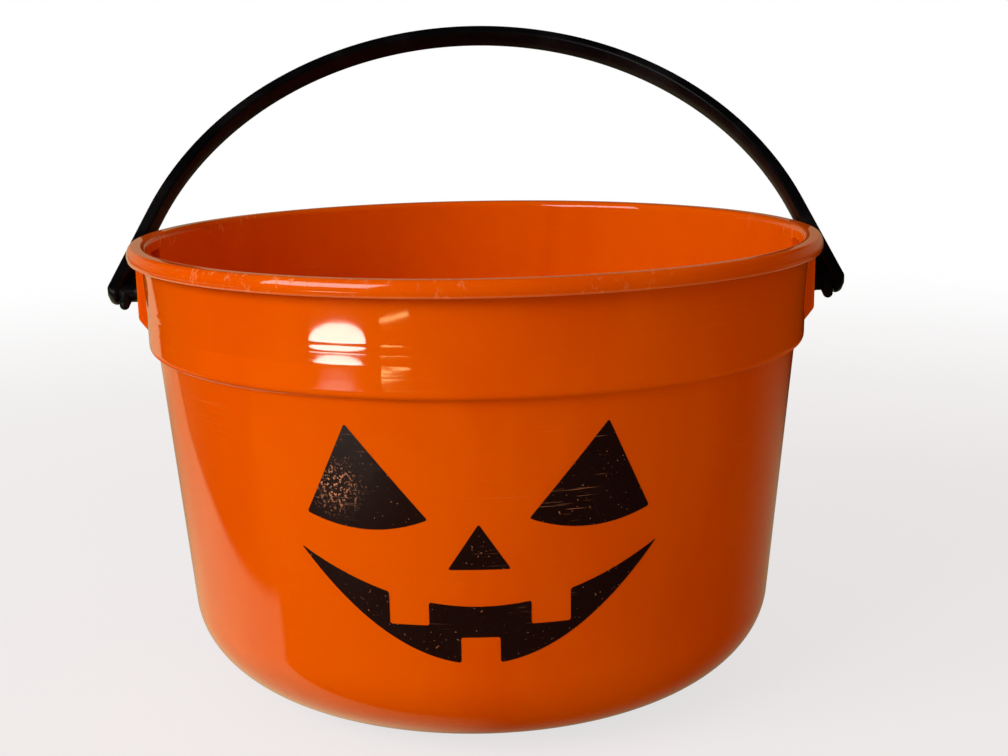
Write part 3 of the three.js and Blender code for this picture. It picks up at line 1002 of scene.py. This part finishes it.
def eye_outline(s, side):
    """A leaning three-cornered eye with a sagging lower edge; side is 1 for right and -1 for left"""
    inner = (side * s.eye_inner, s.eye_bottom)
    outer = (side * s.eye_outer, s.eye_bottom)
    low = (side * (s.eye_inner + s.eye_outer) / 2, s.eye_bottom - 2 * s.eye_sag)
    return [inner] + bow(inner, low, outer, 24) + [(side * s.eye_peak, s.eye_top)]


def nose_outline(s):
    return [(-s.nose_half, s.nose_bottom), (s.nose_half, s.nose_bottom), (0, s.nose_top)]


def mouth_outline(s):
    """A curved grin with two square teeth above and one below"""
    half = s.tooth_width / 2

    def lip(middle):
        bend = (s.mouth_corner - middle) / s.mouth_half ** 2
        return lambda x: middle + bend * x * x

    def along(edge, start, end):
        steps = max(2, round(abs(end - start) / (2 * MM)))
        return [(x, edge(x)) for x in (start + (end - start) * i / steps for i in range(1, steps + 1))]

    def tooth(edge, start, end, way):
        tip = edge((start + end) / 2) + way * s.tooth_length
        return [(start, tip), (end, tip), (end, edge(end))]

    upper = lip(s.upper_lip)
    lower = lip(s.lower_lip)
    place = s.tooth_place
    points = [(-s.mouth_half, s.mouth_corner)] + along(lower, -s.mouth_half, -half)
    points += tooth(lower, -half, half, 1) + along(lower, half, s.mouth_half)
    points += along(upper, s.mouth_half, place + half) + tooth(upper, place + half, place - half, -1)
    points += along(upper, place - half, half - place) + tooth(upper, half - place, -half - place, -1)
    return points + along(upper, -half - place, -s.mouth_half)[:-1]


def ink_skin(bucket, s):
    """A thin conical skin just off the body wall, from which the prints are cut"""
    below_step = bucket.rim_radius - bucket.overhang - bucket.collar_flare - bucket.step_depth
    low = bucket.corner_height
    high = bucket.rim_height - bucket.collar_height - bucket.step_drop
    inside = s.ink_gap
    outside = s.ink_gap + s.ink_thickness
    corner_top = below_step - bucket.body_taper
    points = [
        (corner_top + inside, 0, low),
        (corner_top + outside, 0, low),
        (below_step + outside, 0, high),
        (below_step + inside, 0, high),
        (corner_top + inside, 0, low),
    ]
    return turned("ink_skin", points, bucket.turn_steps)


class TREAT_OT_face(bpy.types.Operator):
    """Cut the four printed films from a thin skin over the body wall"""

    bl_idname = "treat.face"
    bl_label = "Printed Face"

    def execute(self, context):
        s = context.scene.treat_face
        bucket = context.scene.treat_bucket
        outlines = {
            "left_eye_print": eye_outline(s, -1),
            "right_eye_print": eye_outline(s, 1),
            "nose_print": nose_outline(s),
            "mouth_print": mouth_outline(s),
        }
        ink = print_ink()
        for node, outline in outlines.items():
            film = ink_skin(bucket, s)
            film.name = film.data.name = node.replace("_print", "_ink")
            # The cutter reaches the front of the wall alone
            cutter = prism("outline", rounded(outline, s.corner), -s.mouth_half * 3, -s.mouth_half)
            combine(film, cutter, "INTERSECT")
            smooth(film, 30)
            finish_piece(film, node, "pail", ink)
        return {"FINISHED"}


# The stage


CAMERA_PLACE = (3.583 * MM, -441.959 * MM, 174.665 * MM)
CAMERA_RIGHT = (0.999805, -0.011616, -0.015966)
CAMERA_UP = (0.017989, 0.202594, 0.979098)
CAMERA_AHEAD = (0.008139, 0.979194, -0.202764)

# Each lamp's place and the point that it faces
KEY_AIM = ((-0.956, -0.80, 0.70), (0, 0, 0.07))
GLINT_AIM = ((-0.2702, -0.3093, 0.0148), (-0.0316, -0.0855, 0.1096))
BAR_AIM = ((-0.1645, -0.3818, 0.0249), (-0.018, -0.0897, 0.1162))


def area_light(name, place, target, size, watts):
    bpy.ops.object.light_add(type="AREA", location=place)
    lamp = name_new(name)
    lamp.rotation_euler = (Vector(target) - Vector(place)).to_track_quat("-Z", "Y").to_euler()
    lamp.data.shape = "RECTANGLE"
    lamp.data.size, lamp.data.size_y = size
    lamp.data.energy = watts
    return lamp


def mirrored_lamp(name, place, target, size, watts, roll, tint):
    """A small lamp that only the gloss shows"""
    lamp = area_light(name, place, target, size, watts)
    lamp.rotation_euler.rotate_axis("Z", math.radians(roll))
    lamp.data.color = tint
    lamp.visible_diffuse = False
    return lamp


def floor_material(stage):
    """A pale floor that fades to white away from the bucket and keeps its shadow"""
    material, nodes = new_finish("pale_floor")
    distance = nodes.node("ShaderNodeVectorMath", {"operation": "LENGTH"}, {0: nodes.place()})
    far = nodes.ramp(nodes.value(distance, "Value"), 0.2, 0.9)
    seen = nodes.value(nodes.node("ShaderNodeLightPath"), "Is Camera Ray")
    pale = nodes.node("ShaderNodeBsdfDiffuse", None, {"Color": (*stage.floor, 1)})
    white = nodes.node("ShaderNodeEmission", None, {"Color": (1, 1, 1, 1), "Strength": 1.0})
    factor = seen * (0.72 + far * 0.28)
    mixed = nodes.node("ShaderNodeMixShader", None, {0: factor, 1: pale.outputs[0], 2: white.outputs[0]})
    nodes.node("ShaderNodeOutputMaterial", None, {"Surface": mixed.outputs[0]})
    return material


def mirrored_light(nodes, direction, stage):
    """How bright the gloss sees each direction: a sheen low on the left, a fainter one behind on the right"""
    x, y, z = nodes.axes(direction)
    far_back = nodes.ramp(y, 0.62, 0.74) * 0.055
    upper_edge = nodes.ramp(x * 0.39 + y * 0.135 - z + far_back, 0.08, 0.095)
    dimmer = nodes.ramp(z, -0.2, -0.24) * nodes.ramp(z, -0.36, -0.26)
    front_edge = nodes.ramp(y + z * 0.31, -0.24, -0.19)
    level = nodes.maths("POWER", x * x + y * y, 0.5)
    fade = nodes.maths("MINIMUM", level * 1.45, 1.0)
    left_side = nodes.ramp(x, 0.1, -0.2)
    behind = 1 - nodes.ramp(y, 0.75, 0.95) * 0.3
    left = upper_edge * front_edge * fade * left_side * (1 - dimmer * 0.33) * behind
    near_edge = nodes.ramp(x, -0.6, -0.86) * 0.35 + 1
    right = nodes.ramp(y, 0.3, 1.05) * nodes.ramp(z, -0.2, -0.3)
    back = nodes.ramp(y, 0.3, 0.9) * nodes.ramp(nodes.maths("ABSOLUTE", z - 0.1), 0.25, 0.1)
    back = back * (nodes.ramp(x, 0.1, -0.5) * 0.8 + 1)
    rest = nodes.maths("MAXIMUM", right * stage.right_sheen, back * stage.back_sheen)
    return nodes.maths("MAXIMUM", left * near_edge * stage.left_sheen, rest)


def light_world(stage):
    """A white background, an even soft light from all round, and a dark front for the gloss to mirror"""
    world = bpy.data.worlds.new("soft_studio")
    world.use_nodes = True
    bpy.context.scene.world = world
    nodes = Nodes(world.node_tree)
    path = nodes.node("ShaderNodeLightPath")
    seen = nodes.maths("MAXIMUM", nodes.value(path, "Is Camera Ray"), nodes.value(path, "Is Transmission Ray"))
    glossy = nodes.value(path, "Is Glossy Ray")
    direction = nodes.node("ShaderNodeTexCoord").outputs["Generated"]
    strength = glossy * mirrored_light(nodes, direction, stage) + (1 - glossy) * stage.sky
    tint = nodes.mix(glossy, stage.sky_tint, stage.sheen_tint)
    soft = nodes.node("ShaderNodeBackground", None, {"Color": tint, "Strength": strength})
    white = nodes.node("ShaderNodeBackground", None, {"Color": (1, 1, 1, 1), "Strength": 1.0})
    mixed = nodes.node("ShaderNodeMixShader", None, {0: seen, 1: soft.outputs[0], 2: white.outputs[0]})
    nodes.node("ShaderNodeOutputWorld", None, {"Surface": mixed.outputs[0]})


class TREAT_OT_stage(bpy.types.Operator):
    """Add the floor, the soft lights and the camera"""

    bl_idname = "treat.stage"
    bl_label = "Stage"

    def execute(self, context):
        s = context.scene.treat_stage
        deselect_all()
        bpy.ops.mesh.primitive_plane_add(size=s.floor_size)
        floor = name_new("floor")
        floor.data.materials.append(floor_material(s))
        floor.visible_glossy = False
        light_world(s)
        area_light("key", *KEY_AIM, (0.9, 0.62), s.key_power)
        glint = mirrored_lamp("glint", *GLINT_AIM, (0.131, 0.02), s.glint_power, -1.8, (1.0, 1.0, 0.88))
        glint.data.shape = "ELLIPSE"
        mirrored_lamp("low_bar", *BAR_AIM, (0.0622, 0.0012), s.bar_power, 1.7, (1.0, 0.85, 0.3))
        bpy.ops.object.camera_add(location=CAMERA_PLACE)
        camera = name_new("camera")
        turn = Matrix((CAMERA_RIGHT, CAMERA_UP, [-part for part in CAMERA_AHEAD])).transposed()
        camera.rotation_euler = turn.to_euler()
        camera.data.sensor_width = 36
        camera.data.lens = s.lens
        camera.data.clip_start = 0.01
        context.scene.camera = camera
        context.scene.view_settings.view_transform = "Standard"
        return {"FINISHED"}


# The add-on's panel and its registration


class TREAT_PT_panel(bpy.types.Panel):
    """Lists the bucket's pieces and its stage"""

    bl_idname = "TREAT_PT_panel"
    bl_label = "Treat Bucket"
    bl_space_type = "VIEW_3D"
    bl_region_type = "UI"
    bl_category = "Treat Bucket"

    def draw(self, context):
        for operator, group in STEPS:
            self.layout.operator(operator)
            if group:
                settings = getattr(context.scene, group)
                for name in settings.bl_rna.properties.keys():
                    if name not in ("rna_type", "name"):
                        self.layout.prop(settings, name)


STEPS = (
    ("treat.shell", "treat_bucket"),
    ("treat.bail", "treat_bail"),
    ("treat.face", "treat_face"),
    ("treat.stage", "treat_stage"),
)
GROUPS = {
    "treat_bucket": BucketSizes,
    "treat_bail": BailSizes,
    "treat_face": FaceSizes,
    "treat_finishes": Finishes,
    "treat_stage": StageSizes,
}
CLASSES = (*GROUPS.values(), TREAT_OT_shell, TREAT_OT_bail, TREAT_OT_face, TREAT_OT_stage, TREAT_PT_panel)


def register():
    for kind in CLASSES:
        bpy.utils.register_class(kind)
    for name, group in GROUPS.items():
        setattr(bpy.types.Scene, name, bpy.props.PointerProperty(type=group))


def unregister():
    for name in GROUPS:
        delattr(bpy.types.Scene, name)
    for kind in reversed(CLASSES):
        bpy.utils.unregister_class(kind)


def main():
    register()
    bpy.ops.treat.shell()
    bpy.ops.treat.bail()
    bpy.ops.treat.face()
    bpy.ops.treat.stage()


if __name__ == "__main__":
    main()
